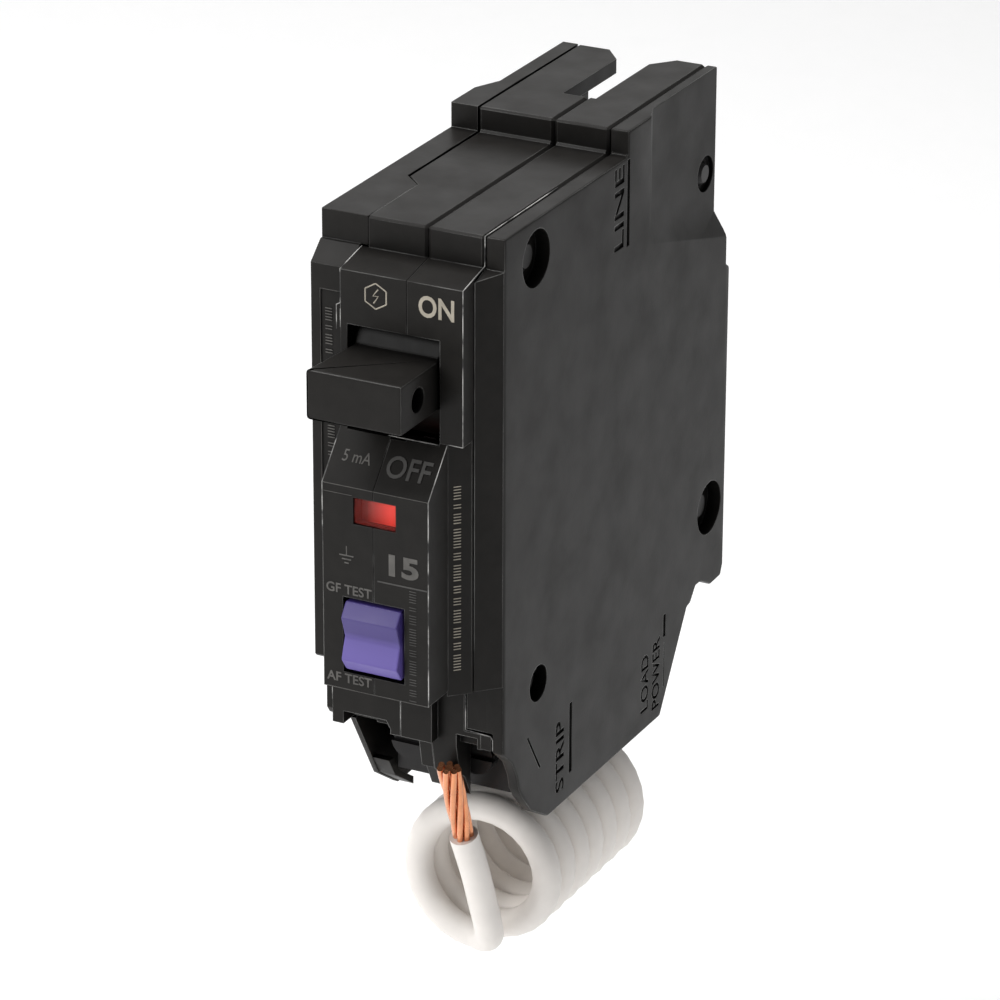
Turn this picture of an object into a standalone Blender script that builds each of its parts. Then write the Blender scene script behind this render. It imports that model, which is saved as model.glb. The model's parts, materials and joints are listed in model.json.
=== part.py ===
"""One-pole ground-fault circuit breaker, one inch wide, with a coiled neutral lead.

Drawing coordinates are millimetres from the case's datum corner: x from the left side towards the right,
y from the front of the top band towards the back, z up from the top of the front body (so most z values are
negative). The world origin is the middle of the flat rear face. World axes are the drawing's: +X right,
+Y to the rear, +Z up, towards the line end.
"""

import math

import bmesh
import bpy
from mathutils import Matrix, Vector

MM = 0.001
GAP = 0.3

WIDTH = 25.4
REAR = 67.3
BOTTOM = -84.6
STEP_TOP = 3.4
MID_HEIGHT = -47.5
ORIGIN = Vector((WIDTH / 2, REAR, MID_HEIGHT))

WALL = 1.6
LEFT_SIDE = -0.35
RIGHT_SIDE = 25.3
LEFT_PARTING = 6.3
LEFT_PARTING_REAR = 3.6
MIDDLE_PARTING = 14.6
SLOPE_PARTING = 12.5
PAD_PARTING = 11.4
RIGHT_PARTING = 22.5
COVER_INNER = 23.8

LEVEL_A = -5.65
LEVEL_B = -10.8
ESCUTCHEON_LEFT = 5.3
ESCUTCHEON_RIGHT = 20.25
ESCUTCHEON_TOP = -4.15
LEVEL_A_BOTTOM = -26.0
LEVEL_B_TOP = -31.9
ESCUTCHEON_BOTTOM = -59.8
SHOULDER_FRONT = -5.5
SHOULDER_BOTTOM = -60.5
PAD_X = (2.15, 15.9)
PAD_FRONT = -1.7
PAD_BOTTOM = -69.7

HANDLE_PIVOT = (5.5, -18.6)
DRUM_RADIUS = 10.6
SLOT_X = (6.1, 19.2)
SLOT_Z = (-26.35, -12.4)
HANDLE_X = (6.5, 18.8)
HANDLE_Z = (-21.85, -15.3)
HANDLE_FRONT = -15.0
HEAD_LEFT = 5.6

WINDOW_X = (9.7, 15.7)
WINDOW_Z = (-36.8, -33.2)
BUTTON_X = (8.5, 16.5)
BUTTON_Z = (-56.9, -47.5)
BUTTON_PIVOT = (-7.4, -52.2)
BUTTON_SWEEP = 0.5

STAB_X = (11.0, 15.8)
STAB_FRONT = 44.7
STAB_FLOOR = -14.0
ROOF = 2.0
CHAMBER_X = (5.2, 20.6)
CHAMBER_FRONT = 46.3

POCKET_BACK = 17.2
POCKET_TOP = -70.0
POCKET_WALL_LEFT = 2.2
LEFT_POCKET_X = (3.0, 15.0)
RIGHT_POCKET_X = (18.6, 23.7)
# The right cover's tongue under the shoulder, and where it ends.
LOWER_COVER_LEFT = 20.05
LOWER_COVER_BOTTOM = -67.5

BIG_RIVETS = {"rivet_front_top": (8.6, -5.2), "rivet_rear_bottom": (62.1, -59.2)}
SMALL_RIVETS = {"rivet_front_bottom": (10.0, -64.0), "rivet_rear_top": (61.3, -10.8)}
BOSS_RECESS = 0.1
COUNTERBORE_FLOOR = 23.3
INSET_FLOOR = 23.4
RIGHT_INSET = 24.1
# Where each boss meets the case's wall: the far corner of the rib between them.
BOSS_RIBS = {
    "rivet_front_top": ((5.9, 11.3), (-5.2, -1.0)),
    "rivet_rear_bottom": ((62.1, 66.2), (-61.9, -56.5)),
    "rivet_front_bottom": ((7.3, 12.7), (-67.4, -64.0)),
}

ARM_PIVOT = (13.5, -17.0)
ARM_LENGTH = 21.5
ARM_REST_ANGLE = math.radians(-12.5)
ARM_X = (18.2, 19.8)
CRADLE_PIVOT = (12.5, -34.5)
ARMATURE_PIVOT = (29.7, -38.5)

WIRE_RADIUS = 1.95
COIL_CENTRE = (13.7, -96.6)
COIL_RADIUS = 11.0
COIL_Y = (13.1, 47.7)
STRAND_RADIUS = 1.2
LEAD_EXIT = (8.2, 51.6, -78.1)
EXIT_NORMAL = (0.0, 0.846, -0.533)
# The lead's way from inside the case, out through its grommet and round to the coil's rear end.
LEAD_ROUTE = [
    (8.2, 46.5, -74.9),
    LEAD_EXIT,
    (8.1, 55.0, -80.6),
    (7.3, 57.2, -84.6),
    (6.1, 56.6, -89.6),
    (4.9, 53.4, -95.4),
    (4.65, 48.2, -96.6),
]
# The free end, from the coil's front face up to where the insulation stops.
TAIL_ROUTE = [(17.1, 10.9, -103.2), (17.2, 10.0, -98.0), (17.0, 8.2, -92.0), (16.5, 6.1, -86.2)]
STRAND_ENDS = ((16.45, 5.7, -85.4), (18.6, -2.2, -71.9))

# The outline that the flat covers share, from the front top corner round by the back.
SIDE_PROFILE = [
    (0.0, 0.0),
    (34.9, 0.0),
    (34.9, STEP_TOP),
    (64.3, STEP_TOP),
    (64.3, -17.0),
    (66.3, -21.2),
    (66.3, -25.0),
    (REAR, -25.6),
    (REAR, -69.5),
    (66.6, -71.1),
    (63.3, -71.2),
    (60.0, -69.5),
    (58.4, -69.5),
    (56.8, -71.4),
    (55.7, -71.6),
    (47.5, BOTTOM),
    (13.2, BOTTOM),
    (8.3, -81.7),
    (4.2, -79.2),
    (2.2, -75.4),
    (0.9, -74.8),
    (0.0, -70.2),
]

CAVITY = [
    (WALL, -WALL),
    (44.7, -WALL),
    (44.7, -17.4),
    (61.0, -18.2),
    (64.6, -23.8),
    (REAR - WALL, -27.0),
    (REAR - WALL, -67.9),
    (55.2, -67.9),
    (45.9, -83.0),
    (18.8, -83.0),
    (18.8, -66.8),
    (WALL, -66.8),
]


def material(name, colour, roughness=0.5, metallic=0.0, alpha=1.0):
    """The piece's own Principled material."""
    made = bpy.data.materials.new(name)
    made.use_nodes = True
    shader = made.node_tree.nodes["Principled BSDF"]
    shader.inputs["Base Color"].default_value = (*colour, 1.0)
    shader.inputs["Roughness"].default_value = roughness
    shader.inputs["Metallic"].default_value = metallic
    shader.inputs["Alpha"].default_value = alpha
    return made


def black_plastic(name):
    return material(name, (0.028, 0.026, 0.025), 0.42)


def steel(name):
    return material(name, (0.55, 0.55, 0.56), 0.35, 1.0)


def copper(name):
    return material(name, (0.72, 0.36, 0.2), 0.3, 1.0)


def brass(name):
    return material(name, (0.75, 0.58, 0.28), 0.32, 1.0)


def silver(name):
    return material(name, (0.8, 0.78, 0.74), 0.3, 1.0)


# Shapes, in drawing coordinates


def prism(outline, x0, x1):
    """The (y, z) outline, extruded from x0 to x1."""
    shape = bmesh.new()
    face = shape.faces.new([shape.verts.new((x0, y, z)) for y, z in outline])
    moved = bmesh.ops.extrude_face_region(shape, geom=[face])["geom"]
    corners = [part for part in moved if isinstance(part, bmesh.types.BMVert)]
    bmesh.ops.translate(shape, verts=corners, vec=(x1 - x0, 0, 0))
    bmesh.ops.recalc_face_normals(shape, faces=shape.faces)
    return shape


def plan_prism(outline, z0, z1):
    """The (x, y) outline, extruded from z0 to z1."""
    shape = prism(outline, z0, z1)
    turn = Matrix(((0, 1, 0, 0), (0, 0, 1, 0), (1, 0, 0, 0), (0, 0, 0, 1)))
    bmesh.ops.transform(shape, matrix=turn, verts=shape.verts)
    return shape


def tapered_prism(outline, x0, wider, x1):
    """A solid whose (y, z) outline widens evenly from x0 to x1, point by point."""
    shape = prism(outline, x0, x1)
    far = [corner for corner in shape.verts if corner.co.x > (x0 + x1) / 2]
    for corner in far:
        nearest = min(range(len(outline)), key=lambda i: math.dist(outline[i], corner.co.yz))
        corner.co.yz = wider[nearest]
    bmesh.ops.triangulate(shape, faces=shape.faces)
    bmesh.ops.recalc_face_normals(shape, faces=shape.faces)
    return shape


def front_prism(outline, y0, y1):
    """The (x, z) outline, extruded from y0 to y1."""
    shape = prism(outline, y0, y1)
    swap = Matrix(((0, 1, 0, 0), (1, 0, 0, 0), (0, 0, 1, 0), (0, 0, 0, 1)))
    bmesh.ops.transform(shape, matrix=swap, verts=shape.verts)
    bmesh.ops.reverse_faces(shape, faces=shape.faces)
    return shape


def box(x, y, z):
    """A block between the two values of each pair."""
    low = Vector((min(x), min(y), min(z)))
    high = Vector((max(x), max(y), max(z)))
    shape = bmesh.new()
    bmesh.ops.create_cube(shape, size=1.0)
    bmesh.ops.scale(shape, vec=high - low, verts=shape.verts)
    bmesh.ops.translate(shape, vec=(low + high) / 2, verts=shape.verts)
    return shape


def rod(start, end, radius, sides=24, end_radius=None):
    """A round bar between two points, tapered where end_radius is given."""
    start, end = Vector(start), Vector(end)
    shape = bmesh.new()
    bmesh.ops.create_cone(
        shape,
        cap_ends=True,
        segments=sides,
        radius1=radius,
        radius2=radius if end_radius is None else end_radius,
        depth=(end - start).length,
    )
    turn = (end - start).to_track_quat("Z", "Y").to_matrix().to_4x4()
    bmesh.ops.transform(shape, matrix=Matrix.Translation((start + end) / 2) @ turn, verts=shape.verts)
    return shape


def cross_rod(centre, x, radius, sides=24):
    """A round bar along x, centred on the (y, z) point."""
    return rod((x[0], *centre), (x[1], *centre), radius, sides)


def arc(centre, radius, start, end, steps):
    """Points on a circle from one angle to another, in degrees from +y towards +z."""
    points = []
    for i in range(steps + 1):
        angle = math.radians(start + (end - start) * i / steps)
        points.append((centre[0] + radius * math.cos(angle), centre[1] + radius * math.sin(angle)))
    return points


def bar_outline(start, end, width, steps=8):
    """A straight link with round ends, as a (y, z) outline."""
    along = math.degrees(math.atan2(end[1] - start[1], end[0] - start[0]))
    first = arc(end, width / 2, along - 90, along + 90, steps)
    return first + arc(start, width / 2, along + 90, along + 270, steps)


# Objects


def add_object(name, shape, finish, pivot=None, smooth=False):
    """Places a shape as an object whose origin is its joint's axis, or else its own centre."""
    if pivot is None:
        corners = [vert.co for vert in shape.verts]
        low = Vector([min(co[i] for co in corners) for i in range(3)])
        high = Vector([max(co[i] for co in corners) for i in range(3)])
        pivot = (low + high) / 2
    pivot = Vector(pivot)
    bmesh.ops.translate(shape, vec=-pivot, verts=shape.verts)
    bmesh.ops.scale(shape, vec=(MM, MM, MM), verts=shape.verts)
    mesh = bpy.data.meshes.new(name)
    shape.to_mesh(mesh)
    shape.free()
    if smooth:
        mesh.shade_smooth()
        mesh.set_sharp_from_angle(angle=math.radians(30))
    made = bpy.data.objects.new(name, mesh)
    made.location = (pivot - ORIGIN) * MM
    bpy.context.collection.objects.link(made)
    if finish is not None:
        mesh.materials.append(finish)
    return made


def boolean(target, shape, operation):
    """Adds a live Boolean whose helper object stays out of the render."""
    helper = add_object(f"{target.name}_{operation.lower()}_{len(target.modifiers)}", shape, None)
    helper.hide_render = True
    helper.display_type = "WIRE"
    modifier = target.modifiers.new(helper.name, "BOOLEAN")
    modifier.operation = operation
    modifier.object = helper
    modifier.solver = "EXACT"


def join(target, *shapes):
    for shape in shapes:
        boolean(target, shape, "UNION")


def cut(target, *shapes):
    for shape in shapes:
        boolean(target, shape, "DIFFERENCE")


def round_edges(target, width, segments=2):
    """Rounds every sharp edge of the shape."""
    modifier = target.modifiers.new("rounding", "BEVEL")
    modifier.width = width * MM
    modifier.segments = segments
    modifier.limit_method = "ANGLE"


# Case


def all_rivets():
    return {**BIG_RIVETS, **SMALL_RIVETS}


def through_rivets():
    """Three rivets hold all four layers; the one beside the stab slot holds only the two on the right."""
    return [all_rivets()[name] for name in BOSS_RIBS]


def rivet_holes(target, centres, radius=1.5):
    for centre in centres:
        cut(target, cross_rod(centre, (-1, WIDTH + 1), radius, 16))


def bosses(target, x, names=tuple(BOSS_RIBS), radius=2.7):
    """A post round each named rivet, with a rib to the nearest wall, both just short of the x given."""
    x = (x[0] + BOSS_RECESS, x[1] - BOSS_RECESS)
    for name in names:
        join(target, cross_rod(all_rivets()[name], x, radius, 20))
        join(target, box((x[0] + BOSS_RECESS, x[1] - BOSS_RECESS), *BOSS_RIBS[name]))


def pocket(target, x):
    """Clears a terminal pocket, open to the front and to below."""
    cut(target, box(x, (-8, POCKET_BACK), (POCKET_TOP, BOTTOM - 5)))


def left_cover():
    """Outer tray on the left. Its front stands proud of the band, and its rear part is thinner."""
    inner = LEFT_PARTING - GAP / 2
    inner_rear = LEFT_PARTING_REAR - GAP / 2
    front = [
        (7.9, -81.0),
        (1.5, -70.2),
        (0.6, -69.6),
        (0.0, -68.7),
        (0.0, -60.3),
        (-2.6, -60.3),
        (-3.0, -59.9),
        (-3.0, -6.2),
        (-0.4, -3.9),
        (0.0, -3.9),
    ]
    shape = prism(SIDE_PROFILE[:-5] + front, LEFT_SIDE, inner)
    cover = add_object("left_cover", shape, black_plastic("left_cover"))
    cut(cover, box((LEFT_SIDE - 1, POCKET_WALL_LEFT), (-5, POCKET_BACK + 0.1), (POCKET_TOP, BOTTOM - 5)))
    round_edges(cover, 0.25)
    cut(cover, prism(CAVITY, WALL, inner + 1))
    thinner = [
        (inner_rear, 15.5),
        (inner, 13.0),
        (inner + 2, 13.0),
        (inner + 2, REAR + 5),
        (inner_rear, REAR + 5),
    ]
    cut(cover, plan_prism(thinner, BOTTOM - 5, STEP_TOP + 5))
    pocket(cover, (LEFT_POCKET_X[0], inner + 2))
    lip = [(6.25, -78.0), (8.0, -80.85), (13.1, -84.3), (13.1, -83.2), (9.0, -80.5), (7.45, -78.0)]
    join(cover, prism(lip, POCKET_WALL_LEFT + 0.4, 5.4))
    beside_z = (ESCUTCHEON_TOP + GAP, ESCUTCHEON_BOTTOM - GAP)
    cut(cover, box((ESCUTCHEON_LEFT - GAP, inner + 2), (-5, WALL + 1), beside_z))
    for left, top in ((PAD_X[0], ESCUTCHEON_BOTTOM), (PAD_X[0] - 0.7, -64.0)):
        cut(cover, box((left - GAP, inner + 2), (-5, WALL + 1), (top, POCKET_TOP - GAP)))
    bosses(cover, (1.0, inner_rear))
    join(cover, cross_rod(HANDLE_PIVOT, (1.0, HANDLE_X[0] - 0.5), 3.2))
    cut(cover, cross_rod(HANDLE_PIVOT, (3.0, inner + 1), 1.6))
    rivet_holes(cover, through_rivets())
    for centre in through_rivets():
        cut(cover, cross_rod(centre, (LEFT_SIDE - 1, 1.2), 2.9))
    left = LEFT_SIDE - 1
    inset = [(left, 41.4), (LEFT_SIDE, 41.4), (1.4, 45.5), (1.4, REAR), (left, REAR)]
    cut(cover, plan_prism(inset, -16.6, STEP_TOP + 1))


def escutcheon_outline(back):
    """Side view of the stepped front block, closed at the given depth."""
    return [
        (back, ESCUTCHEON_TOP),
        (0.0, ESCUTCHEON_TOP),
        (LEVEL_A, ESCUTCHEON_TOP - 1.15),
        (LEVEL_A, LEVEL_A_BOTTOM),
        (LEVEL_B, LEVEL_B_TOP),
        (LEVEL_B, ESCUTCHEON_BOTTOM),
        (back, ESCUTCHEON_BOTTOM),
    ]


def upper_outline(back):
    """Side view of the upper level alone, which is wider than the lower one."""
    return [
        (back, ESCUTCHEON_TOP),
        (0.0, ESCUTCHEON_TOP),
        (LEVEL_A, ESCUTCHEON_TOP - 1.15),
        (LEVEL_A, LEVEL_A_BOTTOM),
        (back, LEVEL_A_BOTTOM),
    ]


def shoulder(x0, x1):
    """The part between two x values of the slanted strip beside the stepped front."""
    lean = SHOULDER_FRONT / (RIGHT_SIDE - ESCUTCHEON_RIGHT)
    plan = [(x, (RIGHT_SIDE - x) * lean) for x in (x0, x1)]
    shape = plan_prism(plan + [(x1, WALL / 2), (x0, WALL / 2)], SHOULDER_BOTTOM, ESCUTCHEON_TOP)
    for corner in shape.verts:
        if corner.co.z > SHOULDER_BOTTOM + 1:
            corner.co.z += 0.3 * corner.co.y - 0.1
    return shape


def escutcheon_hollow():
    """Room behind the stepped front for the handle, the flag and the test button."""
    outline = [
        (WALL + 0.5, ESCUTCHEON_TOP - 2.6),
        (LEVEL_A + WALL, ESCUTCHEON_TOP - 2.6),
        (LEVEL_A + WALL, LEVEL_A_BOTTOM - 0.7),
        (LEVEL_B + WALL, LEVEL_B_TOP - 0.7),
        (LEVEL_B + WALL, ESCUTCHEON_BOTTOM + WALL),
        (WALL + 0.5, ESCUTCHEON_BOTTOM + WALL),
    ]
    return prism(outline, ESCUTCHEON_LEFT + 1.3, ESCUTCHEON_RIGHT - 1.3)


def front_openings(target):
    """The handle slot, the window, the button's opening and the round room for the handle's drum."""
    cut(target, escutcheon_hollow())
    cut(target, cross_rod(HANDLE_PIVOT, SLOT_X, DRUM_RADIUS + 0.4, 48))
    cut(target, box(SLOT_X, (LEVEL_A - 2, 0), SLOT_Z))
    cut(target, box(WINDOW_X, (LEVEL_B - 2, LEVEL_B + 4), WINDOW_Z))
    button_x = (BUTTON_X[0] - 0.35, BUTTON_X[1] + 0.35)
    button_z = (BUTTON_Z[0] - BUTTON_SWEEP, BUTTON_Z[1] + BUTTON_SWEEP)
    cut(target, box(button_x, (LEVEL_B - 2, LEVEL_B + 4), button_z))


def stab_chamber(target):
    """The slot in the roof that the panel's stab passes, its chamfered mouth, and the jaw's chamber below."""
    left, right = STAB_X
    end = SIDE_PROFILE[3][0]
    slot = [
        (left, STAB_FRONT),
        (right, STAB_FRONT),
        (right, end - 3.5),
        (right + 2.9, end + 0.1),
        (right + 2.9, REAR),
        (left - 2.9, REAR),
        (left - 2.9, end + 0.1),
        (left, end - 3.5),
    ]
    cut(target, plan_prism(slot, STEP_TOP - ROOF - 1, STEP_TOP + 5))
    cut(target, box(CHAMBER_X, (CHAMBER_FRONT, REAR + 5), (STAB_FLOOR, STEP_TOP - ROOF)))


def on_exit(start, end, radius):
    """A round bar along the lead's way out of the case, measured from the wall's outer face."""
    exit_point, out = Vector(LEAD_EXIT), Vector(EXIT_NORMAL)
    return rod(exit_point + start * out, exit_point + end * out, radius)


def left_pad(case, edge):
    """The proud pad below the stepped front, with its raised ceiling and the parting on its right."""
    top = ESCUTCHEON_BOTTOM - GAP
    pad = [
        (PAD_X[0], top),
        (ESCUTCHEON_LEFT + 0.6, top),
        (ESCUTCHEON_LEFT + 0.6, top + 1),
        (edge - 1, top + 1),
        (edge - 1, PAD_BOTTOM),
        (PAD_X[0] - 0.7, PAD_BOTTOM),
        (PAD_X[0] - 0.7, -64.3),
        (PAD_X[0], -64.3),
    ]
    join(case, front_prism(pad, PAD_FRONT, WALL - 0.1))
    low, high = PAD_BOTTOM - 1.3, PAD_BOTTOM + 1.8
    ceiling = [(PAD_X[0] + 0.9, high), (9.3, high), (9.9, high - 1.1), (9.9, low), (PAD_X[0] + 0.9, low)]
    cut(case, front_prism(ceiling, PAD_FRONT - 1, WALL - 0.3))
    cleared_z = (ESCUTCHEON_BOTTOM, POCKET_TOP - 1)
    cut(case, box((PAD_PARTING - GAP / 2, edge + 1), (PAD_FRONT - 1, WALL + 0.15), cleared_z))


def center_left_case():
    """Left half of the middle: a ring with the web that parts the electronics from the mechanism."""
    left = LEFT_PARTING_REAR + GAP / 2
    front_left = LEFT_PARTING + GAP / 2
    edge = MIDDLE_PARTING - GAP / 2
    case = add_object("center_left_case", prism(SIDE_PROFILE, left, edge), black_plastic("center_left_case"))
    round_edges(case, 0.3, 1)
    step = [(left - 1, -5), (front_left, -5), (front_left, 13.1), (left, 15.6), (left - 1, 15.6)]
    cut(case, plan_prism(step, BOTTOM - 5, STEP_TOP + 5))
    join(case, prism(escutcheon_outline(WALL), ESCUTCHEON_LEFT, edge))
    left_pad(case, edge)
    cut(case, prism(CAVITY, 0, edge - WALL))
    bosses(case, (left, edge), ["rivet_rear_bottom"])
    bosses(case, (front_left, edge), ["rivet_front_top", "rivet_front_bottom"])
    front_openings(case)
    below_slot = (SLOT_Z[0] + 1, ESCUTCHEON_BOTTOM - 1)
    cut(case, box((SLOPE_PARTING - GAP / 2, edge + 1), (LEVEL_B - 2, -4.0), below_slot))
    stab_chamber(case)
    pocket(case, LEFT_POCKET_X)
    rivet_holes(case, through_rivets())
    cut(case, on_exit(-4, 3, 3.2))
    cut(case, box((7.6, 9.4), (16, 20), (-75.9, -73.7)))
    cut(case, cross_rod(BUTTON_PIVOT, (ESCUTCHEON_LEFT + 0.6, ESCUTCHEON_LEFT + 2), 1.2))


def center_right_case():
    """Right half of the middle: a ring round the mechanism, with the wider upper level in front."""
    edge = MIDDLE_PARTING + GAP / 2
    right = RIGHT_PARTING - GAP / 2
    finish = black_plastic("center_right_case")
    case = add_object("center_right_case", prism(SIDE_PROFILE, edge, right), finish)
    round_edges(case, 0.3, 1)
    join(case, prism(escutcheon_outline(WALL), SLOPE_PARTING + GAP / 2, ESCUTCHEON_RIGHT))
    join(case, prism(upper_outline(WALL - 0.1), ESCUTCHEON_RIGHT - 0.3, right - 0.02))
    join(case, shoulder(ESCUTCHEON_RIGHT - 0.1, right - 0.05))
    cut(case, box((10, edge + 0.05), (-15, 10), (SLOT_Z[0] - GAP / 2, 5)))
    cut(case, box((10, edge + 0.05), (LEVEL_A + 1.35, 10), (SLOT_Z[0] + 2, ESCUTCHEON_BOTTOM - 2)))
    right_pad(case, edge, right)
    cut(case, prism(CAVITY, edge - 1, right + 1))
    bosses(case, (edge, right))
    front_openings(case)
    stab_chamber(case)
    cut(case, box((edge - 1, edge + 2.4), (STAB_FRONT - 3, CHAMBER_FRONT + 1), (-12.9, -4.2)))
    pocket(case, (RIGHT_POCKET_X[0], right + 2))
    cut(case, box((edge - 1, RIGHT_POCKET_X[0] + 1), (4.0, POCKET_BACK), (POCKET_TOP, BOTTOM - 5)))
    rivet_holes(case, all_rivets().values())
    cut(case, box((17.1, 20.9), (16, 20), (-75.9, -73.7)))
    cut(case, cross_rod(BUTTON_PIVOT, (ESCUTCHEON_RIGHT - 2, ESCUTCHEON_RIGHT - 0.6), 1.2))


def right_pad(case, edge, right):
    """The pad's right end, the wall below it between the pockets, and the parting from the cover."""
    back = WALL - 0.15
    top = ESCUTCHEON_BOTTOM - GAP
    pad = [
        (PAD_PARTING + GAP / 2, top),
        (edge + 0.2, top),
        (edge + 0.2, top + 1),
        (PAD_X[1], top + 1),
        (PAD_X[1], PAD_BOTTOM),
        (PAD_PARTING + GAP / 2, PAD_BOTTOM),
    ]
    join(case, front_prism(pad, PAD_FRONT, back))
    wall = [(0.1, -69.6), (1.1, -74.6), (2.3, -75.2), (3.9, -78.3), (3.9, -70.4), (1.4, -70.4), (1.4, -69.6)]
    join(case, prism(wall, 13.0, edge + 0.5))
    cover_z = (SHOULDER_BOTTOM, LOWER_COVER_BOTTOM - GAP)
    cut(case, box((LOWER_COVER_LEFT - GAP, right + 1), (-1, WALL + 0.15), cover_z))
    join(case, box((right - 0.5, 23.55), (0.05, back), (POCKET_TOP + 0.1, LOWER_COVER_BOTTOM - GAP - 0.05)))
    cut(case, box((RIGHT_POCKET_X[0], 21.6), (-1, WALL - 0.5), (POCKET_TOP + 1.5, POCKET_TOP - 1)))


def right_cover():
    """Outer cover on the right, with the rivets' counterbores and the inset beside the stab slot."""
    left = RIGHT_PARTING + GAP / 2
    front = [
        (8.3, -81.7),
        (5.6, -78.6),
        (4.6, -77.0),
        (4.1, -75.0),
        (2.7, -72.5),
        (0.6, -70.6),
        (0.0, -70.1),
    ]
    shape = prism(SIDE_PROFILE[:-5] + front, left, RIGHT_SIDE)
    cover = add_object("right_cover", shape, black_plastic("right_cover"))
    opening = [
        (-8, LOWER_COVER_BOTTOM),
        (WALL + 0.15, LOWER_COVER_BOTTOM),
        (WALL + 0.15, POCKET_TOP),
        (POCKET_BACK, POCKET_TOP),
        (POCKET_BACK, BOTTOM - 5),
        (-8, BOTTOM - 5),
    ]
    cut(cover, prism(opening, left - 1, RIGHT_POCKET_X[1]))
    round_edges(cover, 0.35)
    join(cover, shoulder(left + 0.05, RIGHT_SIDE - 0.1))
    cut(cover, prism(CAVITY, left - 1, COVER_INNER))
    tongue_z = (LOWER_COVER_BOTTOM + 0.1, SHOULDER_BOTTOM - GAP)
    join(cover, box((LOWER_COVER_LEFT, left + 1), (0.1, WALL - 0.15), tongue_z))
    join(cover, box((23.4, 24.2), (40.6, 45.2), (-15.2, -1.2)))
    bosses(cover, (left, 24.4), tuple(BIG_RIVETS), 5.0)
    bosses(cover, (left, 24.4), ("rivet_front_bottom",), 3.7)
    join(cover, cross_rod(HANDLE_PIVOT, (HANDLE_X[1] + 0.5, 24.4), 3.2))
    cut(cover, cross_rod(HANDLE_PIVOT, (left - 5, 22.5), 1.6))
    rivet_holes(cover, all_rivets().values())
    floor = [(44.6, STEP_TOP + 3), (70.0, STEP_TOP + 3), (70.0, -18.7), (44.6, -11.0)]
    rim = [(38.5, STEP_TOP + 3), (70.0, STEP_TOP + 3), (70.0, -25.5), (38.5, -16.8)]
    cut(cover, tapered_prism(floor, RIGHT_INSET, rim, RIGHT_SIDE + 1.1))
    for name, centre in all_rivets().items():
        floor = INSET_FLOOR if name == "rivet_rear_top" else COUNTERBORE_FLOOR
        cut(cover, cross_rod(centre, (floor, WIDTH + 1), 3.8 if name in BIG_RIVETS else 2.5, 32))


def rivet(name, centre, left_end):
    """A plain shank with a low head at each end, sunk in the counterbores."""
    head = 2.2 if name in BIG_RIVETS else 1.7
    floor = INSET_FLOOR if name == "rivet_rear_top" else COUNTERBORE_FLOOR
    finish = steel(name)
    shank = add_object(name, cross_rod(centre, (left_end, floor + 0.3), 1.2, 16), finish, smooth=True)
    join(shank, rod((floor + 0.05, *centre), (floor + 0.65, *centre), head, 24, head * 0.7))
    join(shank, cross_rod(centre, (left_end - 0.3, left_end + 0.3), 2.1))


def rivets():
    for name, centre in all_rivets().items():
        rivet(name, centre, 0.6 if name in BOSS_RIBS else CHAMBER_X[1] - 0.6)


# Handle and switching mechanism


def handle():
    """Lever with a round drum that closes the slot, turning on the pin through its hub."""
    up = HANDLE_Z[1] - HANDLE_PIVOT[1]
    down = HANDLE_PIVOT[1] - HANDLE_Z[0]
    top = 180 - math.degrees(math.asin(up / DRUM_RADIUS))
    bottom = 180 + math.degrees(math.asin(down / DRUM_RADIUS))
    outline = [(HANDLE_FRONT, HANDLE_Z[1])]
    outline += arc(HANDLE_PIVOT, DRUM_RADIUS, top, 125, 5)
    outline += arc(HANDLE_PIVOT, 3.2, 95, -95, 10)
    outline += arc(HANDLE_PIVOT, DRUM_RADIUS, 235, bottom, 5)
    outline.append((HANDLE_FRONT, HANDLE_Z[0]))
    shape = prism(outline, HEAD_LEFT, HANDLE_X[1])
    lever = add_object("handle", shape, black_plastic("handle"), (HANDLE_X[0], *HANDLE_PIVOT))
    # The head is wider than the slot's side allows further back, so its left side tapers.
    taper = (HANDLE_X[0] - HEAD_LEFT) / (LEVEL_A - HANDLE_FRONT)
    beside = [
        (4.0, -16),
        (HEAD_LEFT - taper, HANDLE_FRONT - 1),
        (HANDLE_X[0], LEVEL_A),
        (HANDLE_X[0], 18),
        (4.0, 18),
    ]
    cut(lever, plan_prism(beside, HANDLE_PIVOT[1] - 15, HANDLE_PIVOT[1] + 15))
    round_edges(lever, 0.4)
    cut(lever, cross_rod(HANDLE_PIVOT, (0, WIDTH), 1.6))
    cut(lever, cross_rod((-10.7, -18.5), (HANDLE_X[1] - 3, HANDLE_X[1] + 1), 1.65))


def pins():
    for name, centre, x, radius in (
        ("handle_pin", HANDLE_PIVOT, (3.3, 22.2), 1.3),
        ("contact_arm_pin", ARM_PIVOT, (14.6, 23.5), 1.0),
        ("cradle_pin", CRADLE_PIVOT, (14.6, 23.5), 1.0),
        ("armature_pin", ARMATURE_PIVOT, (14.6, 23.5), 0.6),
    ):
        add_object(name, cross_rod(centre, x, radius, 16), steel(name), smooth=True)


def on_arm(along, across):
    """A (y, z) point measured from the contact arm's pivot, along the arm and up from it."""
    y = ARM_PIVOT[0] + along * math.cos(ARM_REST_ANGLE) - across * math.sin(ARM_REST_ANGLE)
    z = ARM_PIVOT[1] + along * math.sin(ARM_REST_ANGLE) + across * math.cos(ARM_REST_ANGLE)
    return y, z


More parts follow.
